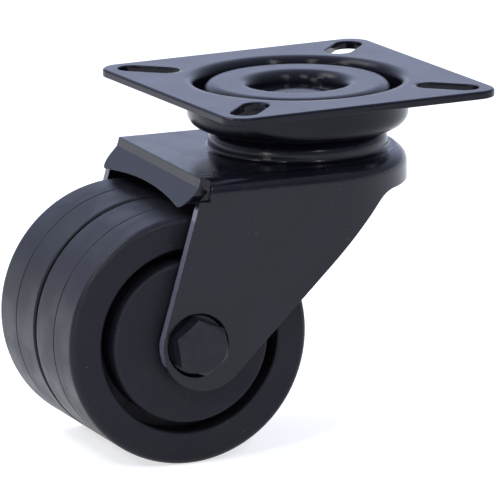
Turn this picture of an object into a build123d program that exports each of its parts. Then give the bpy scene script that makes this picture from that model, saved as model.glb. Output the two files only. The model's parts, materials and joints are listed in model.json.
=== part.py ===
"""Twin wheel swivel caster with a square mounting plate and two 50 mm wheels.

Units are millimetres. The origin is where the swivel axis meets the top face of the
mounting plate. +Z is up, the plate's sides run along X and Y, and the wheels trail
towards -X, turned a little about Z by the angle at which the fork stands at rest.
"""
from build123d import *
from math import cos, pi, radians, sin, tan
import os

os.makedirs("parts", exist_ok=True)

# Mounting plate
plate_side = 60.0
plate_sheet = 1.6
plate_corner_radius = 4.5
plate_edge_radius = 0.5
slot_side_distance = 8.0
slot_width = 5.6
slot_length = 12.7

# Cup drawn down from the plate: it holds the ball races
cup_taper = 0.3
cup_depth = 9.2
cup_rim_bend = 0.9
cup_floor_bend = 2.0
floor_crest_rise = 1.1
floor_crest_slope = 1.3
floor_hole_clearance = 1.1

# Ball rows of the swivel head
upper_ball_diameter = 5.556
upper_ball_count = 15
lower_ball_diameter = 4.0
lower_ball_count = 13
lower_ball_inner_shelf = 2.8
lower_ball_outer_shelf = 1.02
race_depth = 0.12
race_clearance = 0.02

# Race cap: the channel ring over the upper balls
cap_sheet = 1.6
cap_side_clearance = 0.12
cap_rim_gap = 2.0
cap_shoulder_bend = 1.2
cap_skirt_overlap = 0.6
cap_floor_gap = 0.6

# Kingpin
kingpin_radius = 4.0
kingpin_fit = 0.05
kingpin_head_radius = 7.6
kingpin_head_height = 3.2
kingpin_head_edge = 1.2
kingpin_tail_radius = 5.0
kingpin_tail_height = 2.4
spacer_wall = 1.2
washer_radius = 5.6
washer_thickness = 1.2

# Fork, pressed from one sheet
fork_sheet = 2.0
fork_width = 48.4
fork_bend = 3.0
crown_depth = 13.6
crown_front_reach = 21.5
boss_radius = 17.9
boss_gap = 0.4
boss_foot_bend = 1.7
boss_rim_width = 4.6
boss_centre_rise = 0.55
valley_half_width = 1.5
valley_bend = 1.5
front_wall_height = 6.2
leg_rake = 16.2
leg_rear_offset = 7.3
leg_front_slope = 44.4
leg_front_offset = 10.4
leg_end_radius = 9.0
leg_brow_radius = 6.0
lip_angle = 47.0
lip_length = 7.6
lip_arch = 1.6
lip_corner_radius = 2.5
lip_half_width = 21.8
lip_setback = 1.6
relief_radius = 1.3
relief_depth = 4.2
dimple_radius = 6.4
dimple_depth = 1.0
dimple_slope = 0.5

# Axle
trail = 31.5
axle_depth = 46.3
axle_diameter = 5.95
hex_width = 10.0
head_height = 4.2
head_turn = 38.0
nut_height = 6.0
nut_collar_height = 1.9
nut_insert_radius = 4.1
bolt_end = 1.2
axle_hole_clearance = 0.15

# Wheels: one moulding each
wheel_diameter = 50.0
wheel_gap = 1.2
wheel_side_gap = 2.3
hub_face_clearance = 0.3
rim_edge_radius = 1.5
inner_edge_radius = 0.5
groove_outer_radius = 18.6
groove_inner_radius = 16.3
groove_depth = 6.0
web_thickness = 2.5
hub_edge_radius = 0.8
rim_wall = 3.4
hub_wall = 2.8
rib_count = 8
rib_thickness = 1.6
rib_setback = 1.0
seam_depth = 0.2
seam_width = 0.5
hub_shoulder_radius = 8.3
hub_bore_clearance = 0.7

# Wheel bearings
bearing_bore = 6.0
bearing_outer_diameter = 19.0
bearing_width = 6.0
bearing_ball_diameter = 3.5
bearing_ball_count = 7
bearing_inset = 4.6
inner_ring_wall = 2.0
outer_ring_wall = 1.9
ball_fit = 0.02
cage_wall = 0.9
cage_side = 0.4
cage_clearance = 0.07
shield_thickness = 0.3
shield_inset = 0.2
shield_gap = 0.1
axle_spacer_wall = 1.4
axle_spacer_fit = 0.08

# How far the fork is turned about the swivel axis at rest
rest_swivel = -5.0

slot_spacing = plate_side - 2 * slot_side_distance

# Radii of the swivel head, from the kingpin outward
upper_ball_radius = upper_ball_diameter / 2
lower_ball_radius = lower_ball_diameter / 2
floor_hole_radius = kingpin_radius + spacer_wall + floor_hole_clearance
lower_ball_circle_radius = floor_hole_radius + lower_ball_inner_shelf
crest_edge = lower_ball_circle_radius + lower_ball_outer_shelf
upper_race_edge = crest_edge + floor_crest_slope
upper_ball_circle_radius = upper_race_edge + upper_ball_radius
cap_outer_radius = upper_ball_circle_radius + upper_ball_radius + cap_side_clearance + cap_sheet
cup_outer_radius = cap_outer_radius + cap_rim_gap + plate_sheet

# Heights of the swivel head, from the plate's top face down
floor_top = -cup_depth + plate_sheet
floor_hole_mid = -cup_depth + plate_sheet / 2 + floor_crest_rise
upper_ball_z = floor_top - race_depth + race_clearance + upper_ball_radius
cap_underside = upper_ball_z + upper_ball_radius + race_clearance - race_depth
crest_underside = floor_hole_mid - plate_sheet / 2
lower_ball_z = crest_underside + race_depth - race_clearance - lower_ball_radius
valley_top = lower_ball_z - lower_ball_radius - race_clearance + race_depth
cap_flange_underside = floor_hole_mid + plate_sheet / 2 + cap_floor_gap
boss_centre_top = valley_top + boss_centre_rise
boss_centre_underside = boss_centre_top - fork_sheet
crown_top = -crown_depth
boss_top = -cup_depth - boss_gap

# Places along the axle, measured outward from the middle of the caster
leg_outer = fork_width / 2
leg_inner = leg_outer - fork_sheet
dimple_seat = leg_outer - dimple_depth
dimple_inner = dimple_seat - fork_sheet
hub_face = dimple_inner - hub_face_clearance
rim_face = leg_inner - wheel_side_gap
wheel_inner_face = wheel_gap / 2
bearing_inner_end = wheel_inner_face + bearing_inset
bearing_outer_end = bearing_inner_end + bearing_width
bearing_middle = bearing_inner_end + bearing_width / 2
spacer_outer_radius = bearing_bore / 2 + axle_spacer_wall
pitch_radius = (bearing_outer_diameter / 2 - outer_ring_wall + bearing_bore / 2 + inner_ring_wall) / 2


def sheet_ring(points, bends, thickness):
    """Revolve a bent strip of sheet, given by its middle line in radius and height."""
    line = FilletPolyline(*[(r, 0, z) for r, z in points], radius=bends)
    flat = Plane.XZ.to_local_coords(line)
    section = Plane.XZ * trace(flat, line_width=thickness)
    return revolve(section, Axis.Z)


def turned(points):
    """Revolve a closed outline of (radius, height) points about Z."""
    return revolve(Plane.XZ * make_face(Polyline(*points, close=True)), Axis.Z)


def ball_row(diameter, circle_radius, count, height):
    """A row of loose balls on a circle, with one ball over +X."""
    return [
        Pos(circle_radius * cos(2 * pi * i / count), circle_radius * sin(2 * pi * i / count), height)
        * Sphere(diameter / 2)
        for i in range(count)
    ]


def race(circle_radius, ball_radius, height):
    """The torus that a row of balls rolls in, with its running clearance."""
    return Pos(0, 0, height) * Torus(circle_radius, ball_radius + race_clearance)


def along_axle(shape, side, outward):
    """Lay a shape made along +Z on the axle line, pointing away from the middle."""
    return Pos(-trail, side * outward, -axle_depth) * Rot(-90 * side, 0, 0) * shape


def ring_z(outer, inner, low, high):
    """A plain ring about Z between two heights."""
    ring = Cylinder(outer, high - low, align=(Align.CENTER, Align.CENTER, Align.MIN))
    bore = Cylinder(inner, high - low, align=(Align.CENTER, Align.CENTER, Align.MIN))
    return Pos(0, 0, low) * (ring - bore)


def mounting_plate():
    """The square plate with its diagonal slots and the cup drawn down in its middle."""
    wall_radius = cup_outer_radius - plate_sheet / 2
    join_radius = wall_radius + 2 * cup_rim_bend
    blank = Pos(0, 0, -plate_sheet) * extrude(
        RectangleRounded(plate_side, plate_side, plate_corner_radius), plate_sheet
    )
    blank = fillet(blank.faces().sort_by(Axis.Z)[-1].outer_wire().edges(), plate_edge_radius)
    blank = fillet(blank.faces().sort_by(Axis.Z)[0].outer_wire().edges(), plate_edge_radius / 2)
    slots = Sketch()
    for i in range(4):
        slots += Rot(0, 0, 45 + 90 * i) * Pos(slot_spacing / 2 * 2**0.5, 0) * SlotOverall(
            slot_length, slot_width
        )
    blank -= Pos(0, 0, -plate_sheet) * extrude(slots, plate_sheet)
    slot_rims = blank.faces().sort_by(Axis.Z)[-1].inner_wires()
    blank = fillet([e for wire in slot_rims for e in wire.edges()], plate_edge_radius / 2)
    blank -= Pos(0, 0, -plate_sheet) * Cylinder(
        join_radius, plate_sheet, align=(Align.CENTER, Align.CENTER, Align.MIN)
    )
    flat = -plate_sheet / 2
    floor = -cup_depth + plate_sheet / 2
    cup = sheet_ring(
        [
            (join_radius, flat),
            (wall_radius, flat),
            (wall_radius - cup_taper, floor),
            (upper_race_edge, floor),
            (crest_edge, floor_hole_mid),
            (floor_hole_radius, floor_hole_mid),
        ],
        [cup_rim_bend, cup_floor_bend, plate_sheet, plate_sheet],
        plate_sheet,
    )
    plate = blank + cup
    plate -= race(upper_ball_circle_radius, upper_ball_radius, upper_ball_z)
    plate -= race(lower_ball_circle_radius, lower_ball_radius, lower_ball_z)
    return plate


def race_cap():
    """The ring of channel section that closes the upper ball row and carries the load."""
    half_channel = upper_ball_radius + cap_side_clearance + cap_sheet / 2
    outer_wall = upper_ball_circle_radius + half_channel
    inner_wall = upper_ball_circle_radius - half_channel
    top_mid = cap_underside + cap_sheet / 2
    flange_mid = cap_flange_underside + cap_sheet / 2
    cap = sheet_ring(
        [
            (outer_wall, upper_ball_z - cap_skirt_overlap),
            (outer_wall, top_mid),
            (inner_wall, top_mid),
            (inner_wall, flange_mid),
            (kingpin_radius + kingpin_fit, flange_mid),
        ],
        [cap_shoulder_bend, cap_shoulder_bend, cap_shoulder_bend],
        cap_sheet,
    )
    return cap - race(upper_ball_circle_radius, upper_ball_radius, upper_ball_z)


def kingpin():
    """The rivet through the head: a domed head above, a shank and a closed tail below."""
    seat = cap_flange_underside + cap_sheet
    tail_seat = boss_centre_underside - washer_thickness
    head = Pos(0, 0, seat) * Cylinder(
        kingpin_head_radius, kingpin_head_height, align=(Align.CENTER, Align.CENTER, Align.MIN)
    )
    head = fillet(head.edges().sort_by(Axis.Z)[-1], kingpin_head_edge)
    tail = Pos(0, 0, tail_seat) * Cylinder(
        kingpin_tail_radius, kingpin_tail_height, align=(Align.CENTER, Align.CENTER, Align.MAX)
    )
    tail = fillet(tail.edges().sort_by(Axis.Z)[0], kingpin_tail_height * 0.6)
    shank = Pos(0, 0, tail_seat) * Cylinder(
        kingpin_radius, seat - tail_seat, align=(Align.CENTER, Align.CENTER, Align.MIN)
    )
    return head + shank + tail


def side_outline():
    """The fork seen from its side, in X and Z: crown, front wall, and legs to the axle."""
    rake = radians(leg_rake)
    slope = radians(leg_front_slope)
    rear_foot = (-trail - leg_rear_offset * cos(rake), -axle_depth + leg_rear_offset * sin(rake))
    front_foot = (-trail + leg_front_offset * sin(slope), -axle_depth - leg_front_offset * cos(slope))

    def rear_x(z):
        return rear_foot[0] + (z - rear_foot[1]) * tan(rake)

    def front_x(z):
        return front_foot[0] + (z - front_foot[1]) / tan(slope)

    wall_foot = crown_top - front_wall_height
    tip_z = (
        front_foot[0] - rear_foot[0] + rear_foot[1] * tan(rake) - front_foot[1] / tan(slope)
    ) / (tan(rake) - 1 / tan(slope))
    reach = crown_front_reach + fork_bend
    outline = Polyline(
        (rear_x(0), 0),
        (rear_x(tip_z), tip_z),
        (front_x(wall_foot), wall_foot),
        (reach, wall_foot),
        (reach, 0),
        close=True,
    )
    face = make_face(outline)
    tip = face.vertices().sort_by(Axis.Y)[0]
    face = fillet(tip, leg_end_radius)
    brow = face.vertices().sort_by_distance((front_x(wall_foot), wall_foot))[0]
    return fillet(brow, leg_brow_radius)


def crown_plan(inset):
    """The fork seen from above: straight sides and a round front."""
    half = fork_width / 2 - inset
    centre = crown_front_reach - fork_width / 2
    rear = trail + fork_width
    box = Pos(centre - rear / 2, 0) * Rectangle(rear, 2 * half)
    return box + Pos(centre, 0) * Circle(half)


def fork():
    """The fork: crown with raised race boss, round front wall, two legs and a rear lip."""
    depth = axle_depth + leg_end_radius * 2
    outer = extrude(Pos(0, 0, crown_top) * crown_plan(0), -depth)
    outer = fillet(outer.faces().sort_by(Axis.Z)[-1].outer_wire().edges(), fork_bend)
    inner = extrude(Pos(0, 0, crown_top - fork_sheet) * crown_plan(fork_sheet), -depth)
    inner = fillet(inner.faces().sort_by(Axis.Z)[-1].outer_wire().edges(), fork_bend - fork_sheet)
    profile = Plane.XZ * side_outline()
    shell = (outer - inner) & extrude(profile, fork_width, both=True)

    rake = radians(leg_rake)
    crown_rear = -trail - leg_rear_offset / cos(rake) + (crown_top + axle_depth) * tan(rake)
    crown_mid = crown_top - fork_sheet / 2
    bend_x = crown_rear + lip_setback
    lip_end = (
        bend_x - lip_length * cos(radians(lip_angle)),
        crown_mid - lip_length * sin(radians(lip_angle)),
    )
    lip_line = FilletPolyline(
        (bend_x + fork_bend * 2, 0, crown_mid),
        (bend_x, 0, crown_mid),
        (lip_end[0], 0, lip_end[1]),
        radius=fork_bend - fork_sheet / 2,
    )
    lip = extrude(
        Plane.XZ * trace(Plane.XZ.to_local_coords(lip_line), line_width=fork_sheet),
        lip_half_width,
        both=True,
    )
    lip_low = lip_end[1] + fork_sheet / 4
    arch = make_face(
        Polyline(
            (-lip_half_width, lip_low),
            (-lip_half_width, 0),
            (lip_half_width, 0),
            (lip_half_width, lip_low),
        )
        + ThreePointArc((lip_half_width, lip_low), (0, lip_low + lip_arch), (-lip_half_width, lip_low))
    )
    corners = arch.vertices().group_by(Axis.Y)[0]
    arch = fillet(corners, lip_corner_radius)
    lip &= extrude(Plane.YZ * arch, 2 * trail, both=True)
    lip &= outer

    boss_wall = boss_radius - fork_sheet / 2
    boss_mid = boss_top - fork_sheet / 2
    valley_mid = valley_top - fork_sheet / 2
    centre_mid = boss_centre_top - fork_sheet / 2
    rim_inner = boss_wall - boss_rim_width
    boss = sheet_ring(
        [
            (boss_radius + boss_foot_bend, crown_mid),
            (boss_wall, crown_mid),
            (boss_wall, boss_mid),
            (rim_inner, boss_mid),
            (lower_ball_circle_radius + valley_half_width, valley_mid),
            (lower_ball_circle_radius - valley_half_width, valley_mid),
            (washer_radius + fork_sheet / 3, centre_mid),
            (kingpin_radius + kingpin_fit, centre_mid),
        ],
        [boss_foot_bend] * 3 + [valley_bend] * 3,
        fork_sheet,
    )
    shell -= Pos(0, 0, crown_mid) * Cylinder(boss_radius + boss_foot_bend, fork_sheet * 2)
    body = shell + lip + boss
    body -= race(lower_ball_circle_radius, lower_ball_radius, lower_ball_z)

    # A notch beside each end of the lip, round at its front and open to the rear
    notch_plan = Circle(relief_radius) + Rectangle(trail, 2 * relief_radius, align=(Align.MAX, Align.CENTER))
    notch = extrude(notch_plan, relief_depth + fork_sheet)
    for side in (-1, 1):
        notch_y = side * (lip_half_width + relief_radius)
        body -= Pos(bend_x - relief_radius, notch_y, crown_top - relief_depth) * notch
        cone = Cone(
            dimple_radius - dimple_slope, dimple_radius, dimple_depth,
            align=(Align.CENTER, Align.CENTER, Align.MAX),
        )
        pad = Cone(
            dimple_radius + fork_sheet / 2 - dimple_slope, dimple_radius + fork_sheet / 2, dimple_depth,
            align=(Align.CENTER, Align.CENTER, Align.MAX),
        )
        hole = Cylinder(axle_diameter / 2 + axle_hole_clearance, fork_sheet * 4)
        body += along_axle(pad, side, leg_inner)
        body -= along_axle(cone, side, leg_outer)
        body -= along_axle(hole, side, leg_inner)
    return body


def hexagon(width, height):
    """A hexagon bar standing on Z = 0, with its top corners turned away at 30 degrees."""
    bar = extrude(RegularPolygon(width / 2, 6, major_radius=False), height)
    corner = width / 2 / cos(pi / 6)
    drop = (corner - width / 2) * tan(radians(30)) + 0.25
    top = corner - (corner - width / 2) - 0.25
    turning = turned([(0, 0), (corner, 0), (corner, height - drop), (top, height), (0, height)])
    return bar & turning


def axle_bolt():
    """Hexagon bolt: its head in the near dimple, its end past the nut on the far side."""
    length = 2 * dimple_seat + nut_height + bolt_end
    head = along_axle(Rot(0, 0, head_turn) * hexagon(hex_width, head_height), -1, dimple_seat)
    shank = Cylinder(axle_diameter / 2, length, align=(Align.CENTER, Align.CENTER, Align.MIN))
    shank = chamfer(shank.edges().sort_by(Axis.Z)[-1], 0.6)
    return head + along_axle(shank, 1, -dimple_seat)


def axle_nut():
    """Lock nut: hexagon body with a rolled collar that holds a nylon ring."""
    body = hexagon(hex_width, nut_height - nut_collar_height)
    collar = Cylinder(
        nut_insert_radius + 0.5, nut_height, align=(Align.CENTER, Align.CENTER, Align.MIN)
    )
    collar = fillet(collar.edges().sort_by(Axis.Z)[-1], 0.5)
    nut = body + collar
    nut -= Cylinder(axle_diameter / 2, nut_height, align=(Align.CENTER, Align.CENTER, Align.MIN))
    nut -= Pos(0, 0, nut_height - nut_collar_height) * Cylinder(
        nut_insert_radius, nut_collar_height - 0.4, align=(Align.CENTER, Align.CENTER, Align.MIN)
    )
    return along_axle(nut, 1, dimple_seat)


def nut_insert():
    """The nylon ring in the lock nut."""
    low = nut_height - nut_collar_height
    ring = ring_z(nut_insert_radius, axle_diameter / 2, low, nut_height - 0.4)
    return along_axle(ring, 1, dimple_seat)


def wheel(side):
    """One moulded wheel: rim, web with ribs, and hub with the seat for its bearing."""
    radius = wheel_diameter / 2
    low = wheel_inner_face
    groove_floor = rim_face - groove_depth
    web_back = groove_floor - web_thickness
    pocket_outer = radius - rim_wall
    pocket_inner = bearing_outer_diameter / 2 + hub_wall
    bore = spacer_outer_radius + hub_bore_clearance
    body = turned(
        [
            (bore, low), (radius, low), (radius, rim_face), (groove_outer_radius, rim_face),
            (groove_outer_radius, groove_floor), (groove_inner_radius, groove_floor),
            (groove_inner_radius, hub_face), (bore, hub_face),
        ]
    )
    rims = body.edges().filter_by(GeomType.CIRCLE)

    def edge_at(r, z):
        near = [e for e in rims if abs(e.radius - r) < 1e-6 and abs(e.center().Z - z) < 1e-6]
        return near[0]

    body = fillet(edge_at(radius, rim_face), rim_edge_radius)
    rims = body.edges().filter_by(GeomType.CIRCLE)
    body = fillet([edge_at(radius, low), edge_at(groove_outer_radius, rim_face)], inner_edge_radius)
    rims = body.edges().filter_by(GeomType.CIRCLE)
    body = fillet(edge_at(groove_inner_radius, hub_face), hub_edge_radius)

    pocket = ring_z(pocket_outer, pocket_inner, low, web_back)
    rib = Pos((pocket_outer + pocket_inner) / 2, 0, (low + rib_setback + web_back) / 2) * Box(
        pocket_outer - pocket_inner + rim_wall, rib_thickness, web_back - low - rib_setback
    )
    for i in range(rib_count):
        pocket -= Rot(0, 0, 360 / rib_count * i) * rib
    body -= pocket
    body -= Pos(0, 0, low) * Cylinder(
        bearing_outer_diameter / 2, bearing_inset + bearing_width,
        align=(Align.CENTER, Align.CENTER, Align.MIN),
    )
    body -= Pos(0, 0, low) * Cylinder(
        hub_shoulder_radius, bearing_inset + bearing_width + shield_inset + 0.8,
        align=(Align.CENTER, Align.CENTER, Align.MIN),
    )
    middle = (wheel_inner_face + rim_face) / 2
    body -= turned(
        [
            (radius - seam_depth, middle),
            (radius + seam_depth, middle - seam_width),
            (radius + seam_depth, middle + seam_width),
        ]
    )
    return along_axle(body, side, 0)


def bearing(side):
    """A shielded ball bearing round the axle: its rings, balls, cage and two shields."""
    low = bearing_inner_end
    high = bearing_outer_end
    ball_radius = bearing_ball_diameter / 2
    inner_land = bearing_bore / 2 + inner_ring_wall
    outer_land = bearing_outer_diameter / 2 - outer_ring_wall
    groove = Pos(0, 0, bearing_middle) * Torus(pitch_radius, ball_radius + ball_fit)
    inner_ring = ring_z(inner_land, bearing_bore / 2, low, high) - groove
    outer_ring = ring_z(bearing_outer_diameter / 2, outer_land, low, high) - groove
    balls = ball_row(bearing_ball_diameter, pitch_radius, bearing_ball_count, bearing_middle)
    half = ball_radius + cage_clearance + cage_side
    cage = ring_z(
        pitch_radius + cage_wall / 2, pitch_radius - cage_wall / 2,
        bearing_middle - half, bearing_middle + half,
    )
    for i in range(bearing_ball_count):
        pocket = Rot(0, 90, 0) * Cylinder(ball_radius + cage_clearance, pitch_radius)
        cage -= Rot(0, 0, 360 / bearing_ball_count * i) * Pos(pitch_radius, 0, bearing_middle) * pocket
    shields = [
        ring_z(outer_land, inner_land + shield_gap, z, z + shield_thickness)
        for z in (low + shield_inset, high - shield_inset - shield_thickness)
    ]
    return {
        "inner_ring": along_axle(inner_ring, side, 0),
        "outer_ring": along_axle(outer_ring, side, 0),
        "balls": Compound([along_axle(ball, side, 0) for ball in balls]),
        "cage": along_axle(cage, side, 0),
        "shields": Compound([along_axle(shield, side, 0) for shield in shields]),
    }


def axle_spacer(low, high, side=1):
    """A sleeve on the axle between two places along it."""
    return along_axle(
        ring_z(spacer_outer_radius, axle_diameter / 2 + axle_spacer_fit, low, high), side, 0
    )


head_parts = {
    "top_plate": mounting_plate(),
}

turning_parts = {
    "race_cap": race_cap(),
    "kingpin": kingpin(),
    "kingpin_spacer": ring_z(
        kingpin_radius + spacer_wall, kingpin_radius + kingpin_fit,
        boss_centre_top, cap_flange_underside,
    ),
    "kingpin_washer": ring_z(
        washer_radius, kingpin_radius + kingpin_fit,
        boss_centre_underside - washer_thickness, boss_centre_underside,
    ),
    "upper_balls": Compound(
        ball_row(upper_ball_diameter, upper_ball_circle_radius, upper_ball_count, upper_ball_z)
    ),
    "lower_balls": Compound(
        ball_row(lower_ball_diameter, lower_ball_circle_radius, lower_ball_count, lower_ball_z)
    ),
    "fork": fork(),
    "axle_bolt": axle_bolt(),
    "axle_nut": axle_nut(),
    "nut_insert": nut_insert(),
    "near_spacer": axle_spacer(bearing_outer_end, dimple_inner, -1),
    "far_spacer": axle_spacer(bearing_outer_end, dimple_inner, 1),
    "centre_spacer": axle_spacer(-bearing_inner_end, bearing_inner_end),
    "near_wheel": wheel(-1),
    "far_wheel": wheel(1),
}
for name, side in (("near", -1), ("far", 1)):
    for piece, shape in bearing(side).items():
        turning_parts[f"{name}_{piece}"] = shape

for name, shape in head_parts.items():
    export_step(shape, f"parts/{name}.step")
for name, shape in turning_parts.items():
    export_step(Rot(0, 0, rest_swivel) * shape, f"parts/{name}.step")
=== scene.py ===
# %% [markdown]
# # A twin wheel swivel caster
# The metal and plastic shapes come from the CAD model. The one piece made here is the kingpin, whose head
# is lower than the model's. The rest of the work is the look: paint, blackened steel, moulded plastic,
# ground steel and a plain studio.
# A caster is almost all black, so its shape is told by reflections. The work is therefore in how rough,
# how wavy and how worn each surface is, and in what there is round it to be reflected.

# %% Load the frame
import bpy
import json
from math import cos, pi, radians, sin
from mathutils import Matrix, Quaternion, Vector

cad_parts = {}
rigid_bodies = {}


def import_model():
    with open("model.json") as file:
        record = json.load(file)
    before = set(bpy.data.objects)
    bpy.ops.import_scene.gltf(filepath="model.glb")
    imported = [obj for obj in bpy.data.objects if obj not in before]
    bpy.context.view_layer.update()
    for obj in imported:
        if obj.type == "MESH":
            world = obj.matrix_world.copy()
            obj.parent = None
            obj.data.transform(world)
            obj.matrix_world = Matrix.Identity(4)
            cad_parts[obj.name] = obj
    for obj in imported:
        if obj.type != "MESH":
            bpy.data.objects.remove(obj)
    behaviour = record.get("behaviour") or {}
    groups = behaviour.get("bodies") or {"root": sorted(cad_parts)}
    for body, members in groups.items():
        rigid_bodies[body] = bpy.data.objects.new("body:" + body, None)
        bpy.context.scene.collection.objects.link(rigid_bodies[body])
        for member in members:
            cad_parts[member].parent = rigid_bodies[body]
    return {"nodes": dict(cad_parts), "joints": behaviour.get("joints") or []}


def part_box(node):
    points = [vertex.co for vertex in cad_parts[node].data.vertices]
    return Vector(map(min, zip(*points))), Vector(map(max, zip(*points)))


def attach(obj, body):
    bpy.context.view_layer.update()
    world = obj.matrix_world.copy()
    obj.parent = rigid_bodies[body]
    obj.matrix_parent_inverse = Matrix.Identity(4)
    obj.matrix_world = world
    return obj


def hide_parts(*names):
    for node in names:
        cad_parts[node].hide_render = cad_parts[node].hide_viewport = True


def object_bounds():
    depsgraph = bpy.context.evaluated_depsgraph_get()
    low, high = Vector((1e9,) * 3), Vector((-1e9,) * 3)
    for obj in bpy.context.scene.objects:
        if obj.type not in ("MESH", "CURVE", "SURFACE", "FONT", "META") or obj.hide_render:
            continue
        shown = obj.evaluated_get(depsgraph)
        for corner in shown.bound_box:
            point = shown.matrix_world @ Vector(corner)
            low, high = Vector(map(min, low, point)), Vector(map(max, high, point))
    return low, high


for leftover in list(bpy.data.objects):
    bpy.data.objects.remove(leftover)
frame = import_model()
cad_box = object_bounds()
nodes = frame["nodes"]
print("pieces:", len(nodes), "size in mm:", [round(1000 * s, 1) for s in cad_box[1] - cad_box[0]])

# %% [markdown]
# ## Where the turning parts turn
# Turned steel and turned moulds carry fine rings round their own axis. The joints of the model already
# say where the axle and the swivel axis are, so the finishes read them there and no number is copied.

# %% Axle and swivel axis
joint = {j["name"]: j for j in frame["joints"]}
axle_point = Vector(joint["near_wheel_spin"]["pos_m"])
axle_line = Vector(joint["near_wheel_spin"]["axis"])
swivel_point = Vector(joint["swivel"]["pos_m"])
swivel_line = Vector(joint["swivel"]["axis"])
print("axle through", [round(1000 * c, 1) for c in axle_point], "mm")

# %% [markdown]
# ## Small helpers for node trees
# A finish is a tree of many small nodes. Written out one by one they hide the idea, so a few helpers do
# the typing: they add a node, fill a socket, do a sum, make a smooth step, give the place on the surface
# in millimetres, lay noise there, and open a new group. Object coordinates are used because they stay
# with the piece when it turns.

# %% Node helpers
def add(tree, kind, **settings):
    """Puts a node in the tree and sets its properties."""
    made = tree.nodes.new(kind)
    for name, value in settings.items():
        setattr(made, name, value)
    return made


def feed(tree, socket, value):
    """Links an output to a socket, or writes a plain value on it."""
    if isinstance(value, bpy.types.NodeSocket):
        tree.links.new(value, socket)
    else:
        socket.default_value = value


def calc(tree, operation, *values):
    """One Math node."""
    made = add(tree, "ShaderNodeMath", operation=operation)
    for socket, value in zip(made.inputs, values):
        feed(tree, socket, value)
    return made.outputs[0]


def between(tree, value, low, high, to_low=0.0, to_high=1.0):
    """A smooth step: low or less gives to_low, high or more gives to_high."""
    made = add(tree, "ShaderNodeMapRange", interpolation_type="SMOOTHSTEP")
    for socket, number in zip(made.inputs, (value, low, high, to_low, to_high)):
        feed(tree, socket, number)
    return made.outputs[0]


def millimetres(tree):
    """The place on the piece, in millimetres."""
    place = add(tree, "ShaderNodeTexCoord").outputs["Object"]
    scaled = add(tree, "ShaderNodeVectorMath", operation="SCALE")
    tree.links.new(place, scaled.inputs[0])
    scaled.inputs["Scale"].default_value = 1000
    return scaled.outputs[0]


def noise(tree, place, size, detail=2.0, roughness=0.5):
    """Cloudy noise whose blobs are about size millimetres across."""
    made = add(tree, "ShaderNodeTexNoise")
    tree.links.new(place, made.inputs["Vector"])
    feed(tree, made.inputs["Scale"], calc(tree, "DIVIDE", 1.0, size))
    made.inputs["Detail"].default_value = detail
    made.inputs["Roughness"].default_value = roughness
    return made.outputs[0]


def new_group(name, inputs, outputs):
    """An empty shader node group with its named sockets, and its two ends."""
    tree = bpy.data.node_groups.new(name, "ShaderNodeTree")
    for label, value in inputs.items():
        kind = "NodeSocketVector" if isinstance(value, tuple) else "NodeSocketFloat"
        tree.interface.new_socket(label, in_out="INPUT", socket_type=kind).default_value = value
    for label in outputs:
        tree.interface.new_socket(label, in_out="OUTPUT", socket_type="NodeSocketFloat")
    return tree, add(tree, "NodeGroupInput").outputs, add(tree, "NodeGroupOutput").inputs


# %% [markdown]
# ## Effect: the skin of a paint film
# Sprayed paint isn't flat. It dries with a fine orange peel about a millimetre across, over slower waves
# left by the pressing below. A displaced mesh could show this, but the film is only microns high, so a
# height for a Bump node is enough. The slow waves also come out as a value of their own, since paint is a
# little duller where it lies thin.

# %% Paint skin group
skin, given, gives = new_group(
    "Paint skin", {"Peel mm": 0.9, "Waves mm": 9.0, "Wave share": 0.6}, ["Height", "Film"]
)
place = millimetres(skin)
peel = noise(skin, place, given["Peel mm"], detail=1.0)
waves = noise(skin, place, given["Waves mm"], detail=2.0)
both = calc(skin, "MULTIPLY_ADD", waves, given["Wave share"], peel)
skin.links.new(both, gives["Height"])
skin.links.new(between(skin, waves, 0.3, 0.7), gives["Film"])
print("group:", skin.name, len(skin.nodes), "nodes")

# %% [markdown]
# ## Effect: worn edges
# Paint goes first where the sheet turns a corner. Painting a mask by hand would not follow the model when
# it changes. The Bevel node looks at the surfaces round a point and gives a softened normal, which differs
# from the true one only near an edge, so the difference is a mask of the edges. Noise breaks it up,
# because real wear comes in patches.

# %% Worn edges group
worn, given, gives = new_group(
    "Worn edges", {"Width mm": 0.35, "Patch mm": 2.5, "Amount": 0.5}, ["Mask"]
)
soft = add(worn, "ShaderNodeBevel", samples=4)
feed(worn, soft.inputs["Radius"], calc(worn, "MULTIPLY", given["Width mm"], 0.001))
facing = add(worn, "ShaderNodeVectorMath", operation="DOT_PRODUCT")
worn.links.new(soft.outputs[0], facing.inputs[0])
worn.links.new(add(worn, "ShaderNodeNewGeometry").outputs["Normal"], facing.inputs[1])
edge_starts, edge_full = 0.01, 0.12
edge = between(worn, calc(worn, "SUBTRACT", 1.0, facing.outputs["Value"]), edge_starts, edge_full)
patches = noise(worn, millimetres(worn), given["Patch mm"], detail=4.0, roughness=0.65)
unworn_level, amount_share, patch_rim = 0.85, 0.4, 0.12
reach = calc(worn, "SUBTRACT", unworn_level, calc(worn, "MULTIPLY", given["Amount"], amount_share))
where = between(worn, patches, calc(worn, "SUBTRACT", reach, patch_rim), reach)
worn.links.new(calc(worn, "MULTIPLY", edge, where), gives["Mask"])
print("group:", worn.name, len(worn.nodes), "nodes")

# %% [markdown]
# ## Effect: rub marks
# Parts knock together in their box and leave hair-thin lines in all directions. Each line is the border
# between two cells of a Voronoi pattern that is stretched a lot in one direction. Two patterns, turned
# against each other, keep the lines from looking combed.

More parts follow.
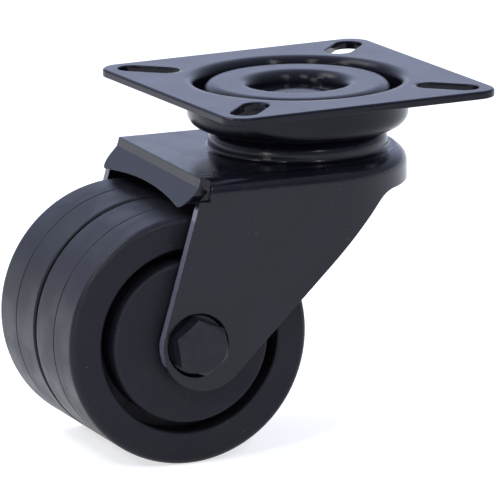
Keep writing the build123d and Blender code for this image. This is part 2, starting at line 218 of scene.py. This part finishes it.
# %% Rub marks group
rubs, given, gives = new_group("Rub marks", {"Length mm": 14.0, "Amount": 0.4}, ["Mask"])
place = millimetres(rubs)
stretch, line_width, patch_mm = (0.06, 1.0, 0.6), 0.02, 7.0
lines = []
for turn in ((20, 35, 10), (-50, 15, 80)):
    turned = add(rubs, "ShaderNodeVectorRotate", rotation_type="EULER_XYZ")
    rubs.links.new(place, turned.inputs["Vector"])
    turned.inputs["Rotation"].default_value = [radians(t) for t in turn]
    drawn = add(rubs, "ShaderNodeVectorMath", operation="MULTIPLY")
    rubs.links.new(turned.outputs[0], drawn.inputs[0])
    drawn.inputs[1].default_value = stretch
    cells = add(rubs, "ShaderNodeTexVoronoi", feature="DISTANCE_TO_EDGE")
    rubs.links.new(drawn.outputs[0], cells.inputs["Vector"])
    feed(rubs, cells.inputs["Scale"], calc(rubs, "DIVIDE", 8.0, given["Length mm"]))
    lines.append(between(rubs, cells.outputs["Distance"], 0.0, line_width, 1.0, 0.0))
most = calc(rubs, "MAXIMUM", *lines)
patches = between(rubs, noise(rubs, place, patch_mm, detail=3.0), 0.45, 0.7)
shown = calc(rubs, "MULTIPLY", calc(rubs, "MULTIPLY", most, patches), given["Amount"])
rubs.links.new(shown, gives["Mask"])
print("group:", rubs.name, len(rubs.nodes), "nodes")

# %% [markdown]
# ## Effect: dust
# A caster is photographed clean, yet close up there is always some dust: small specks, more of them on
# faces that look up. Specks are the middles of Voronoi cells. A random number for each cell decides how
# big its speck is, and the upward part of the normal decides how many stay.

# %% Dust group
dust, given, gives = new_group("Dust", {"Spacing mm": 1.6, "Speck mm": 0.09, "Amount": 0.5}, ["Mask"])
place = millimetres(dust)
cells = add(dust, "ShaderNodeTexVoronoi")
dust.links.new(place, cells.inputs["Vector"])
feed(dust, cells.inputs["Scale"], calc(dust, "DIVIDE", 1.0, given["Spacing mm"]))
lot = add(dust, "ShaderNodeSeparateColor")
dust.links.new(cells.outputs["Color"], lot.inputs[0])
smallest, solid_share = 0.4, 0.5
speck = calc(dust, "DIVIDE", given["Speck mm"], given["Spacing mm"])
size = calc(dust, "MULTIPLY", speck, calc(dust, "ADD", smallest, lot.outputs["Red"]))
solid = calc(dust, "MULTIPLY", size, solid_share)
spot = between(dust, cells.outputs["Distance"], solid, size, 1.0, 0.0)
upward = add(dust, "ShaderNodeSeparateXYZ")
dust.links.new(add(dust, "ShaderNodeNewGeometry").outputs["Normal"], upward.inputs[0])
stays = between(dust, upward.outputs["Z"], -0.2, 0.9, 0.25, 1.0)
kept = calc(dust, "LESS_THAN", lot.outputs["Green"], calc(dust, "MULTIPLY", stays, given["Amount"]))
dust.links.new(calc(dust, "MULTIPLY", spot, kept), gives["Mask"])
print("group:", dust.name, len(dust.nodes), "nodes")

# %% [markdown]
# ## Effect: turning rings
# A lathe leaves fine rings, on turned steel and on plastic from a turned mould alike. They depend only on
# how far a point is from the axis and how far along it, so the group takes a point of the axis and its
# direction, works out both, and reads a noise there. The rings then stay true round any axis.

# %% Turning rings group
rings, given, gives = new_group(
    "Turning rings", {"Axis point": (0.0, 0.0, 0.0), "Axis": (0.0, 0.0, 1.0), "Spacing mm": 0.25}, ["Height"]
)
offset = add(rings, "ShaderNodeVectorMath", operation="SUBTRACT")
rings.links.new(add(rings, "ShaderNodeTexCoord").outputs["Object"], offset.inputs[0])
rings.links.new(given["Axis point"], offset.inputs[1])
along = add(rings, "ShaderNodeVectorMath", operation="DOT_PRODUCT")
rings.links.new(offset.outputs[0], along.inputs[0])
rings.links.new(given["Axis"], along.inputs[1])
across = add(rings, "ShaderNodeVectorMath", operation="CROSS_PRODUCT")
rings.links.new(offset.outputs[0], across.inputs[0])
rings.links.new(given["Axis"], across.inputs[1])
radius = add(rings, "ShaderNodeVectorMath", operation="LENGTH")
rings.links.new(across.outputs[0], radius.inputs[0])
along_share = 0.7
lengthwise = calc(rings, "MULTIPLY", along.outputs["Value"], along_share)
travel = calc(rings, "ADD", radius.outputs["Value"], lengthwise)
cut = add(rings, "ShaderNodeTexNoise", noise_dimensions="1D")
travel_mm = calc(rings, "MULTIPLY", travel, 1000)
feed(rings, cut.inputs["W"], calc(rings, "DIVIDE", travel_mm, given["Spacing mm"]))
cut.inputs["Detail"].default_value = 3.0
rings.links.new(cut.outputs[0], gives["Height"])
print("group:", rings.name, len(rings.nodes), "nodes")

# %% [markdown]
# ## Effect: moulded grain
# The mould of a plastic wheel is spark eroded, which leaves an even, matt grain of about a tenth of a
# millimetre. The molten plastic also cools unevenly, so slow patches differ a little in sheen. The group
# gives the grain as a height, and the patches as a value for colour and roughness.

# %% Moulded grain group
grain, given, gives = new_group("Moulded grain", {"Grain mm": 0.16, "Patch mm": 8.0}, ["Height", "Sheen"])
place = millimetres(grain)
grain.links.new(noise(grain, place, given["Grain mm"], detail=2.0, roughness=0.6), gives["Height"])
slow = noise(grain, place, given["Patch mm"], detail=3.0)
grain.links.new(between(grain, slow, 0.3, 0.7), gives["Sheen"])
print("group:", grain.name, len(grain.nodes), "nodes")

# %% [markdown]
# ## How a finish is put together
# Every finish starts the same way: a Principled shader, the effect groups with values of their own, a
# colour that goes from the clean to the worn one by a mask, and a Bump node for the heights. A second
# Bevel node rounds a fraction of a millimetre of each edge for the light only, as no real edge is
# perfectly sharp. The value called mirror says how strongly a smooth face reflects, 0.5 being usual. A
# black part in a white room shows little but reflections, so mirror decides how dark it looks. These
# helpers do that part, and each material then reads as a short recipe.

# %% Finish helpers
def new_finish(name, colour, roughness, metallic=0.0, mirror=0.5):
    """A material with its Principled shader set to the plain colour, roughness, metal and reflection."""
    material = bpy.data.materials.new(name)
    material.use_nodes = True
    shader = material.node_tree.nodes["Principled BSDF"]
    shader.inputs["Base Color"].default_value = (*colour, 1.0)
    shader.inputs["Roughness"].default_value = roughness
    shader.inputs["Metallic"].default_value = metallic
    shader.inputs["Specular IOR Level"].default_value = mirror
    return material, material.node_tree, shader


def effect(tree, group, **values):
    """Places an effect group in a material, with this material's own values."""
    made = add(tree, "ShaderNodeGroup", node_tree=group)
    for label, value in values.items():
        feed(tree, made.inputs[label.replace("_", " ")], value)
    return made.outputs


def colour_by(tree, mask, plain, other):
    """A colour that goes from plain to other by the mask. Either may be a colour or an output."""
    made = add(tree, "ShaderNodeMix", data_type="RGBA")
    feed(tree, made.inputs["Factor"], mask)
    for socket, colour in ((made.inputs[6], plain), (made.inputs[7], other)):
        feed(tree, socket, colour if isinstance(colour, bpy.types.NodeSocket) else (*colour, 1.0))
    return made.outputs[2]


def relief(tree, shader, height, microns, edge_mm=0.12):
    """Bumps the normal by a height, over edges rounded for the light."""
    rounded = add(tree, "ShaderNodeBevel", samples=4)
    feed(tree, rounded.inputs["Radius"], calc(tree, "MULTIPLY", edge_mm, 0.001))
    bump = add(tree, "ShaderNodeBump")
    bump.inputs["Distance"].default_value = microns / 1e6
    tree.links.new(height, bump.inputs["Height"])
    tree.links.new(rounded.outputs[0], bump.inputs["Normal"])
    tree.links.new(bump.outputs[0], shader.inputs["Normal"])


def dress(material, *names):
    """Gives the material to these nodes of the model."""
    for name in names:
        nodes[name].data.materials.clear()
        nodes[name].data.materials.append(material)
    print(material.name, "on", ", ".join(names))


# %% [markdown]
# ## Finish: gloss black lacquer
# The mounting plate, the ring over the balls and the kingpin's head are dipped in a black lacquer with a
# hard gloss. It mirrors the studio at a low angle, which is why the flat plate looks pale grey and not
# black. Plain black with a low roughness does that by itself. The lacquer thins on the edges, where a
# dark grey shows, and the dust and rub marks make single spots duller. The sheet rolls over slowly where
# it was drawn down into the cup, so within 25 mm of the kingpin the light sees wider edges.

# %% Gloss black lacquer
speck_rise = 2.0
rolled_mm, fade_mm, wide_mm, narrow_mm = 25.0, 0.5, 1.7, 0.25
lacquer, tree, shader = new_finish("black lacquer", (0.006, 0.006, 0.010), 0.14, mirror=0.2)
film = effect(tree, skin, Peel_mm=1.1, Waves_mm=11.0, Wave_share=0.8)
edges = effect(tree, worn, Width_mm=0.3, Patch_mm=1.8, Amount=0.35)["Mask"]
marks = effect(tree, rubs, Length_mm=12.0, Amount=0.5)["Mask"]
specks = effect(tree, dust, Spacing_mm=1.9, Speck_mm=0.08, Amount=0.35)["Mask"]
colour = colour_by(tree, film["Film"], (0.005, 0.005, 0.008), (0.007, 0.007, 0.012))
colour = colour_by(tree, edges, colour, (0.045, 0.045, 0.05))
tree.links.new(colour_by(tree, specks, colour, (0.22, 0.22, 0.21)), shader.inputs["Base Color"])
dull = calc(tree, "MAXIMUM", calc(tree, "MAXIMUM", edges, specks), marks)
gloss = between(tree, film["Film"], 0.0, 1.0, 0.12, 0.19)
tree.links.new(calc(tree, "MULTIPLY_ADD", dull, 0.3, gloss), shader.inputs["Roughness"])
height = calc(tree, "MULTIPLY_ADD", specks, speck_rise, film["Height"])
upright = add(tree, "ShaderNodeSeparateXYZ")
tree.links.new(millimetres(tree), upright.inputs[0])
squares = [calc(tree, "POWER", upright.outputs[axis], 2.0) for axis in ("X", "Y")]
from_pin = calc(tree, "SQRT", calc(tree, "ADD", *squares))
roll = between(tree, from_pin, rolled_mm - fade_mm, rolled_mm + fade_mm, wide_mm, narrow_mm)
relief(tree, shader, height, microns=12, edge_mm=roll)
dress(lacquer, "top_plate", "race_cap", "kingpin")

# %% [markdown]
# ## The kingpin, with its head deep in the ring
# In the photograph the hole in the ring is a dark well with a glint at the bottom: the rivet's head is a
# low dome on the ring's flange. The CAD model's head stands higher, so a turned piece takes its place.
# Half its outline is drawn once, as points with a radius and a height in metres, and spun round the
# swivel axis. Every point between the two ends becomes one ring of vertices. The corners under the head
# and at the tail are marked sharp, so that the rest can be smooth.

# %% Kingpin
def spun(name, outline, sharp, steps=96):
    """A solid turned about Z from (radius, height) points that start and end on the axis, in metres."""
    mesh = bpy.data.meshes.new(name)
    corners = [(0, 0, outline[0][1])]
    for radius, height in outline[1:-1]:
        for i in range(steps):
            angle = 2 * pi * i / steps
            corners.append((radius * cos(angle), radius * sin(angle), height))
    corners.append((0, 0, outline[-1][1]))
    last, end = len(corners) - 1, len(outline) - 3
    faces = []
    for i in range(steps):
        j = (i + 1) % steps
        faces.append((0, 1 + i, 1 + j))
        for row in range(end):
            top, low = 1 + row * steps, 1 + (row + 1) * steps
            faces.append((top + i, low + i, low + j, top + j))
        faces.append((last, 1 + end * steps + j, 1 + end * steps + i))
    mesh.from_pydata(corners, [], faces)
    mesh.validate()
    mesh.shade_smooth()
    for edge in mesh.edges:
        on_rings = [v for v in edge.vertices if 0 < v < last]
        rows = {(v - 1) // steps for v in on_rings}
        edge.use_edge_sharp = len(on_rings) == 2 and len(rows) == 1 and rows <= sharp
    made = bpy.data.objects.new(name, mesh)
    bpy.context.scene.collection.objects.link(made)
    return made


pin_low, pin_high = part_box("kingpin")
head_height, dome_edge, dome_rise = 0.0032, 0.0005, 0.0013
head_radius, shank_radius, tail_radius, tail_height = 0.0073, 0.004, 0.005, 0.0024
tail_wall, tail_bevel = 0.001, 0.0004
seat = pin_high[2] - head_height
tail_seat = pin_low[2] + tail_height
dome = [
    (head_radius * sin(radians(a)), seat + dome_edge + dome_rise * cos(radians(a))) for a in range(0, 91, 9)
]
outline = dome + [
    (head_radius, seat), (shank_radius, seat), (shank_radius, tail_seat), (tail_radius, tail_seat),
    (tail_radius, tail_seat - tail_wall), (0.8 * tail_radius, pin_low[2] + tail_bevel),
    (0.6 * tail_radius, pin_low[2]), (0, pin_low[2]),
]
first = len(dome) - 1
pin = spun("domed_kingpin", outline, {first, first + 1, first + 2, first + 3})
pin.data.materials.append(lacquer)
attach(pin, "fork")
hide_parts("kingpin")
print("kingpin:", len(pin.data.polygons), "faces, head top", round(1000 * dome[0][1], 2), "mm")

# %% [markdown]
# ## Finish: satin black paint on the fork
# The fork is one pressing of thick sheet, painted black after bending. Its film is thinner and duller than
# the plate's, and the stretched metal of the bends shows through it as shorter, stronger waves. The same
# groups are used, with those waves, a rougher film and more wear on the edges. The legs' faces that look
# rearward get a painted highlight: a light grey that stands in for the light line along their sheared
# edges. The normal in the fork's own space finds them, so the painted highlight stays right when the fork
# swivels, and the height leaves out the end of the crown.

# %% Satin black paint
satin, tree, shader = new_finish("satin black paint", (0.0065, 0.0065, 0.0105), 0.2, mirror=0.29)
film = effect(tree, skin, Peel_mm=0.8, Waves_mm=7.0, Wave_share=1.1)
edges = effect(tree, worn, Width_mm=0.4, Patch_mm=2.2, Amount=0.5)["Mask"]
marks = effect(tree, rubs, Length_mm=16.0, Amount=0.6)["Mask"]
specks = effect(tree, dust, Spacing_mm=1.5, Speck_mm=0.09, Amount=0.4)["Mask"]
colour = colour_by(tree, film["Film"], (0.0055, 0.0055, 0.009), (0.0075, 0.0075, 0.012))
colour = colour_by(tree, edges, colour, (0.06, 0.06, 0.065))
rearward = swivel_line.cross(axle_line)
if rearward.dot(axle_point - swivel_point) < 0:
    rearward.negate()
facing = add(tree, "ShaderNodeVectorMath", operation="DOT_PRODUCT")
tree.links.new(add(tree, "ShaderNodeTexCoord").outputs["Normal"], facing.inputs[0])
facing.inputs[1].default_value = rearward
rear_highlight_facing = between(tree, facing.outputs["Value"], 0.9, 0.95)
crown_mm = -19.0
upright = add(tree, "ShaderNodeSeparateXYZ")
tree.links.new(millimetres(tree), upright.inputs[0])
on_leg = between(tree, upright.outputs["Z"], crown_mm - fade_mm, crown_mm + fade_mm, 1.0, 0.0)
painted_rear_highlight = calc(tree, "MULTIPLY", rear_highlight_facing, on_leg)
# Painted highlight: light grey on the rearward faces of the legs, in place of the light line on their edges.
colour = colour_by(tree, painted_rear_highlight, colour, (0.13, 0.13, 0.16))
tree.links.new(colour_by(tree, specks, colour, (0.2, 0.2, 0.19)), shader.inputs["Base Color"])
dull = calc(tree, "MAXIMUM", calc(tree, "MAXIMUM", edges, specks), marks)
gloss = between(tree, film["Film"], 0.0, 1.0, 0.16, 0.23)
tree.links.new(calc(tree, "MULTIPLY_ADD", dull, 0.25, gloss), shader.inputs["Roughness"])
height = calc(tree, "MULTIPLY_ADD", specks, speck_rise, film["Height"])
relief(tree, shader, height, microns=13, edge_mm=0.3)
dress(satin, "fork")

# %% [markdown]
# ## Finish: blackened steel
# Bolt, nut and washer are steel with a thin black oxide, oiled. It is part of the metal, so it has no
# orange peel, and the turning marks of the bar show through it. Where a spanner has touched the corners
# of the hexagon, a little bare steel shows, so the same mask drives colour and metal together.

# %% Blackened steel
oxide, tree, shader = new_finish("black oxide steel", (0.011, 0.011, 0.015), 0.3, mirror=0.25)
turned = effect(tree, rings, Axis_point=axle_point, Axis=axle_line, Spacing_mm=0.22)["Height"]
edges = effect(tree, worn, Width_mm=0.25, Patch_mm=1.2, Amount=0.3)["Mask"]
marks = effect(tree, rubs, Length_mm=6.0, Amount=0.5)["Mask"]
cast = noise(tree, millimetres(tree), 1.6, detail=4.0, roughness=0.65)
colour = colour_by(tree, between(tree, cast, 0.35, 0.65), (0.008, 0.008, 0.012), (0.015, 0.015, 0.019))
tree.links.new(colour_by(tree, edges, colour, (0.12, 0.12, 0.125)), shader.inputs["Base Color"])
tree.links.new(calc(tree, "MULTIPLY", edges, 0.6), shader.inputs["Metallic"])
sheen = between(tree, cast, 0.3, 0.7, 0.3, 0.42)
tree.links.new(calc(tree, "MULTIPLY_ADD", marks, 0.2, sheen), shader.inputs["Roughness"])
relief(tree, shader, turned, microns=9, edge_mm=0.25)
dress(oxide, "axle_bolt", "axle_nut", "kingpin_washer")

# %% [markdown]
# ## Finish: matt black plastic of the wheels
# Both wheels are one moulding each, in a matt black plastic. The tread is a little smoother than the
# sides, because it rolls. How far a point is from the axle tells the two apart: the turning rings group
# can't say it, so the material measures the distance itself and lets it drive the roughness.

# %% Matt black plastic
plastic, tree, shader = new_finish("matt black plastic", (0.0115, 0.0115, 0.0155), 0.5, mirror=0.2)
fine = effect(tree, grain, Grain_mm=0.2, Patch_mm=9.0)
turned = effect(tree, rings, Axis_point=axle_point, Axis=axle_line, Spacing_mm=0.5)["Height"]
edges = effect(tree, worn, Width_mm=0.35, Patch_mm=2.0, Amount=0.3)["Mask"]
marks = effect(tree, rubs, Length_mm=9.0, Amount=0.7)["Mask"]
specks = effect(tree, dust, Spacing_mm=1.4, Speck_mm=0.09, Amount=0.5)["Mask"]
offset = add(tree, "ShaderNodeVectorMath", operation="SUBTRACT")
tree.links.new(add(tree, "ShaderNodeTexCoord").outputs["Object"], offset.inputs[0])
offset.inputs[1].default_value = axle_point
across = add(tree, "ShaderNodeVectorMath", operation="CROSS_PRODUCT")
tree.links.new(offset.outputs[0], across.inputs[0])
across.inputs[1].default_value = axle_line
distance = add(tree, "ShaderNodeVectorMath", operation="LENGTH")
tree.links.new(across.outputs[0], distance.inputs[0])
tread_radius = max((v.co - axle_point).cross(axle_line).length for v in nodes["near_wheel"].data.vertices)
tread_starts, tread_full = tread_radius - 0.0014, tread_radius - 0.0003
tread = between(tree, distance.outputs["Value"], tread_starts, tread_full)
colour = colour_by(tree, fine["Sheen"], (0.0105, 0.0105, 0.014), (0.0125, 0.0125, 0.017))
colour = colour_by(tree, calc(tree, "MAXIMUM", edges, marks), colour, (0.03, 0.03, 0.035))
tree.links.new(colour_by(tree, specks, colour, (0.2, 0.2, 0.19)), shader.inputs["Base Color"])
matt = between(tree, fine["Sheen"], 0.0, 1.0, 0.44, 0.56)
tree.links.new(calc(tree, "MULTIPLY_ADD", tread, -0.1, matt), shader.inputs["Roughness"])
ring_share = 0.5
height = calc(tree, "MULTIPLY_ADD", turned, ring_share, fine["Height"])
relief(tree, shader, height, microns=14)
dress(plastic, "near_wheel", "far_wheel")
print("tread radius in mm:", round(1000 * tread_radius, 2))

# %% [markdown]
# ## Finish: ground steel of the bearings
# The rings, shields, cages and spacer sleeves are bright steel, ground on a turning spindle. It is plain
# metal, so the rings of the grinding give it its look: they blur the reflection along the radius only.
# A faint straw tint in slow patches is the film of oil that keeps it from rusting.

# %% Ground steel
ground, tree, shader = new_finish("ground steel", (0.56, 0.56, 0.57), 0.28, 1.0)
turned = effect(tree, rings, Axis_point=axle_point, Axis=axle_line, Spacing_mm=0.12)["Height"]
marks = effect(tree, rubs, Length_mm=5.0, Amount=0.6)["Mask"]
oil = between(tree, noise(tree, millimetres(tree), 2.4, detail=3.0), 0.4, 0.65)
colour = colour_by(tree, oil, (0.57, 0.57, 0.585), (0.5, 0.48, 0.44))
tree.links.new(colour_by(tree, marks, colour, (0.4, 0.4, 0.4)), shader.inputs["Base Color"])
tree.links.new(between(tree, oil, 0.0, 1.0, 0.3, 0.2), shader.inputs["Roughness"])
relief(tree, shader, turned, microns=3, edge_mm=0.06)
dress(
    ground, "near_inner_ring", "near_outer_ring", "near_shields", "near_cage", "near_spacer",
    "far_inner_ring", "far_outer_ring", "far_shields", "far_cage", "far_spacer", "centre_spacer",
)

# %% [markdown]
# ## Finish: steel round the kingpin
# The sleeve round the kingpin is turned about the swivel axis and not about the axle, so it needs the same
# finish with another axis. A copy of the material with two values changed keeps both in step.

# %% Ground steel about the swivel axis
upright = ground.copy()
upright.name = "ground steel, upright"
for part in upright.node_tree.nodes:
    if part.type == "GROUP" and part.node_tree == rings:
        part.inputs["Axis point"].default_value = swivel_point
        part.inputs["Axis"].default_value = swivel_line
dress(upright, "kingpin_spacer")

# %% [markdown]
# ## Finish: bearing balls
# Balls are lapped in all directions at once, so they have no rings, only a mirror polish with a thin and
# uneven film of grease. The grease is duller and darker, and noise lays it on in smears.

# %% Bearing balls
lapped, tree, shader = new_finish("lapped steel", (0.62, 0.62, 0.64), 0.1, 1.0)
smear = between(tree, noise(tree, millimetres(tree), 1.1, detail=3.0), 0.45, 0.62)
fine = effect(tree, grain, Grain_mm=0.3, Patch_mm=2.0)
marks = effect(tree, rubs, Length_mm=3.0, Amount=0.4)["Mask"]
tree.links.new(colour_by(tree, smear, (0.62, 0.62, 0.64), (0.36, 0.32, 0.24)), shader.inputs["Base Color"])
rough = between(tree, smear, 0.0, 1.0, 0.08, 0.26)
tree.links.new(calc(tree, "MULTIPLY_ADD", marks, 0.15, rough), shader.inputs["Roughness"])
relief(tree, shader, fine["Height"], microns=1.5, edge_mm=0.02)
dress(lapped, "upper_balls", "lower_balls", "near_balls", "far_balls")

# %% [markdown]
# ## Finish: nylon ring of the lock nut
# The ring that keeps the nut from working loose is natural nylon: milky, waxy and slightly see-through.
# Light goes a short way into it, which subsurface scattering gives. The grain group is used once more,
# finer than on the wheels.

# %% Nylon
nylon, tree, shader = new_finish("natural nylon", (0.72, 0.71, 0.67), 0.4)
shader.inputs["Subsurface Weight"].default_value = 0.3
shader.inputs["Subsurface Radius"].default_value = (1.0, 0.9, 0.8)
shader.inputs["Subsurface Scale"].default_value = 0.0008
fine = effect(tree, grain, Grain_mm=0.12, Patch_mm=1.5)
marks = effect(tree, rubs, Length_mm=3.0, Amount=0.5)["Mask"]
colour = colour_by(tree, fine["Sheen"], (0.68, 0.67, 0.62), (0.76, 0.75, 0.71))
tree.links.new(colour_by(tree, marks, colour, (0.5, 0.49, 0.45)), shader.inputs["Base Color"])
tree.links.new(between(tree, fine["Sheen"], 0.0, 1.0, 0.34, 0.46), shader.inputs["Roughness"])
relief(tree, shader, fine["Height"], microns=8, edge_mm=0.05)
dress(nylon, "nut_insert")

# %% [markdown]
# ## Paper that stays white
# A pale floor lit like the object comes out light grey, and the picture wants white. More light would
# bleach the object too, so the paper adds a little of its own glow, only for rays straight from the camera
# and those mirrored in the paint. It still darkens under the wheels, which ties them to the ground.

# %% Paper
def new_paper(name, own_glow):
    """A matt, pale paper that also glows a little where the camera or a mirror sees it."""
    paper = bpy.data.materials.new(name)
    paper.use_nodes = True
    tree = paper.node_tree
    tree.nodes.remove(tree.nodes["Principled BSDF"])
    matt = add(tree, "ShaderNodeBsdfDiffuse")
    matt.inputs["Color"].default_value = (0.62, 0.62, 0.62, 1.0)
    glow = add(tree, "ShaderNodeEmission")
    ray = add(tree, "ShaderNodeLightPath").outputs
    mirrored = calc(tree, "MAXIMUM", ray["Is Glossy Ray"], ray["Is Transmission Ray"])
    seen = calc(tree, "MAXIMUM", ray["Is Camera Ray"], mirrored)
    tree.links.new(calc(tree, "MULTIPLY", seen, own_glow), glow.inputs["Strength"])
    sum_of = add(tree, "ShaderNodeAddShader")
    tree.links.new(matt.outputs[0], sum_of.inputs[0])
    tree.links.new(glow.outputs[0], sum_of.inputs[1])
    tree.links.new(sum_of.outputs[0], tree.nodes["Material Output"].inputs["Surface"])
    return paper


# %% [markdown]
# ## The floor and the wall
# The caster stands on its two treads, so the floor lies a hair below their lowest point. It is one large
# sheet. Seen from close to the ground it ends at the horizon, so a low round wall of the same paper stands
# 4 m away. It faces the light less than the floor does, so it glows a little more to look as white. It is
# low enough that the flat plate mirrors the room above it.

# %% Floor and wall
floor_gap, floor_side = 0.00005, 24
lowest = cad_box[0].z - floor_gap
bpy.ops.mesh.primitive_plane_add(size=floor_side, location=(0, 0, lowest))
floor = bpy.context.object
floor.name = "floor"
floor.data.materials.append(new_paper("pale floor", own_glow=0.68))
wall_height, wall_radius = 0.35, 4.0
bpy.ops.mesh.primitive_cylinder_add(
    vertices=96, radius=wall_radius, depth=wall_height, end_fill_type="NOTHING",
    location=(0, 0, lowest + wall_height / 2),
)
wall = bpy.context.object
wall.name = "backdrop"
wall.data.materials.append(new_paper("pale backdrop", own_glow=0.9))
print("floor at", round(1000 * lowest, 2), "mm, wall", wall_height, "m high")

# %% [markdown]
# ## The camera
# The picture was taken from a little above and well away, with a long lens, so upright lines stay almost
# parallel. The numbers come from fitting a camera to the plate's edges and the wheels' outlines. A camera
# looks along its own -Z, so it is turned to face the aim point and then rolled by under half a degree.

# %% Camera
azimuth, elevation, roll = radians(-27.303), radians(12.946), radians(-0.455)
aim = Vector((-0.011876, -0.001939, -0.033411))
distance = 1.68599
sideways = Quaternion((0, 0, 1), azimuth)
back = sideways @ Quaternion((1, 0, 0), -elevation) @ Vector((0, -1, 0))
camera = bpy.data.objects.new("camera", bpy.data.cameras.new("camera"))
bpy.context.scene.collection.objects.link(camera)
camera.data.lens = 611.09
camera.data.sensor_width = 36.0
camera.location = aim + back * distance
camera.rotation_mode = "QUATERNION"
camera.rotation_quaternion = (-back).to_track_quat("-Z", "Y") @ Quaternion((0, 0, 1), roll)
bpy.context.scene.camera = camera
print("camera looks back along", [round(c, 4) for c in back])

# %% [markdown]
# ## The light
# Gloss black shows what is round it, so the studio is built for its reflections: a bright room that is
# about half as bright behind the camera, where the photographer and the door are, and to the left and
# right. The world gives both the room and its light. Its strength depends on the direction alone: how far
# that points towards the camera's side, and how far to either side. Its colour is a cool daylight, which
# the flat plate mirrors at a low angle and so turns a bluish grey. Floor and wall fill the picture from
# every side, so nothing here needs to be white.

# %% Studio round the object
world = bpy.data.worlds.new("studio")
world.use_nodes = True
bpy.context.scene.world = world
tree = world.node_tree
towards = add(tree, "ShaderNodeTexCoord").outputs["Generated"]
level = Vector((back.x, back.y, 0)).normalized()
right = level.cross(Vector((0, 0, -1)))


def share_towards(direction):
    """How far the ray points in this direction, from -1 to 1."""
    made = add(tree, "ShaderNodeVectorMath", operation="DOT_PRODUCT")
    tree.links.new(towards, made.inputs[0])
    made.inputs[1].default_value = direction
    return made.outputs["Value"]


room = between(tree, share_towards(level), -0.1, 0.9, 1.0, 0.45)
side = between(tree, calc(tree, "ABSOLUTE", share_towards(right)), 0.3, 0.95, 1.0, 0.55)
sky = tree.nodes["Background"].inputs
sky["Color"].default_value = (0.80, 0.90, 1.25, 1.0)
tree.links.new(calc(tree, "MULTIPLY", room, side), sky["Strength"])
print("camera side:", [round(c, 3) for c in level], "right:", [round(c, 3) for c in right])

# %% [markdown]
# ## A soft lamp above
# One large lamp, high on the left, stands for the softbox. It gives the top edges a soft white line and
# the wheels a side that is brighter than the other. It is broad, so its shadow stays soft.

# %% Softbox
def softbox(name, place, width, watts):
    """A square lamp that faces the caster."""
    lamp = bpy.data.lights.new(name, "AREA")
    lamp.size = width
    lamp.energy = watts
    made = bpy.data.objects.new(name, lamp)
    bpy.context.scene.collection.objects.link(made)
    made.location = place
    made.rotation_mode = "QUATERNION"
    made.rotation_quaternion = (aim - Vector(place)).to_track_quat("-Z", "Y")
    return made


high_left = aim + Vector((0, 0, 0.9)) - right * 0.7 - level * 0.2
over = softbox("softbox", high_left, width=0.5, watts=4.0)
print("lamp:", over.name, [round(c, 2) for c in over.location])

# %% [markdown]
# ## Small lamps for the glints
# The photograph has thin white glints on every tight bend: the rim of the kingpin's head, the step under
# the cup and the corners of the bolt. A bend mirrors a wide part of the room in a thin line, so small
# lamps make them. They stand to the left, near the camera and to the right, above the caster, where
# the flat legs can't mirror them. A fourth stands low on the left, for the light line that runs down the
# rear edge of the near leg. Each lamp is given by its turn to the right of the camera and its rise above
# the ground, both in degrees, and by its watts.

# %% Glint lamps
glint_lamps = (
    ("left", -62, 38, 2.2),
    ("middle", -18, 42, 1.8),
    ("right", 30, 38, 2.2),
    ("low left", -40, 10, 1.2),
)
lamp_distance, lamp_width = 1.2, 0.1
for name, turn, rise, watts in glint_lamps:
    flat = Quaternion((0, 0, 1), radians(turn)) @ level
    tilt = Quaternion(flat.cross(Vector((0, 0, 1))), radians(rise))
    lamp = softbox(f"glint lamp {name}", aim + lamp_distance * (tilt @ flat), lamp_width, watts)
    print("lamp:", lamp.name, [round(c, 2) for c in lamp.location])

# %% [markdown]
# ## Last settings
# The Standard view transform shows colours as they are written.

# %% Finish
bpy.context.scene.view_settings.view_transform = "Standard"
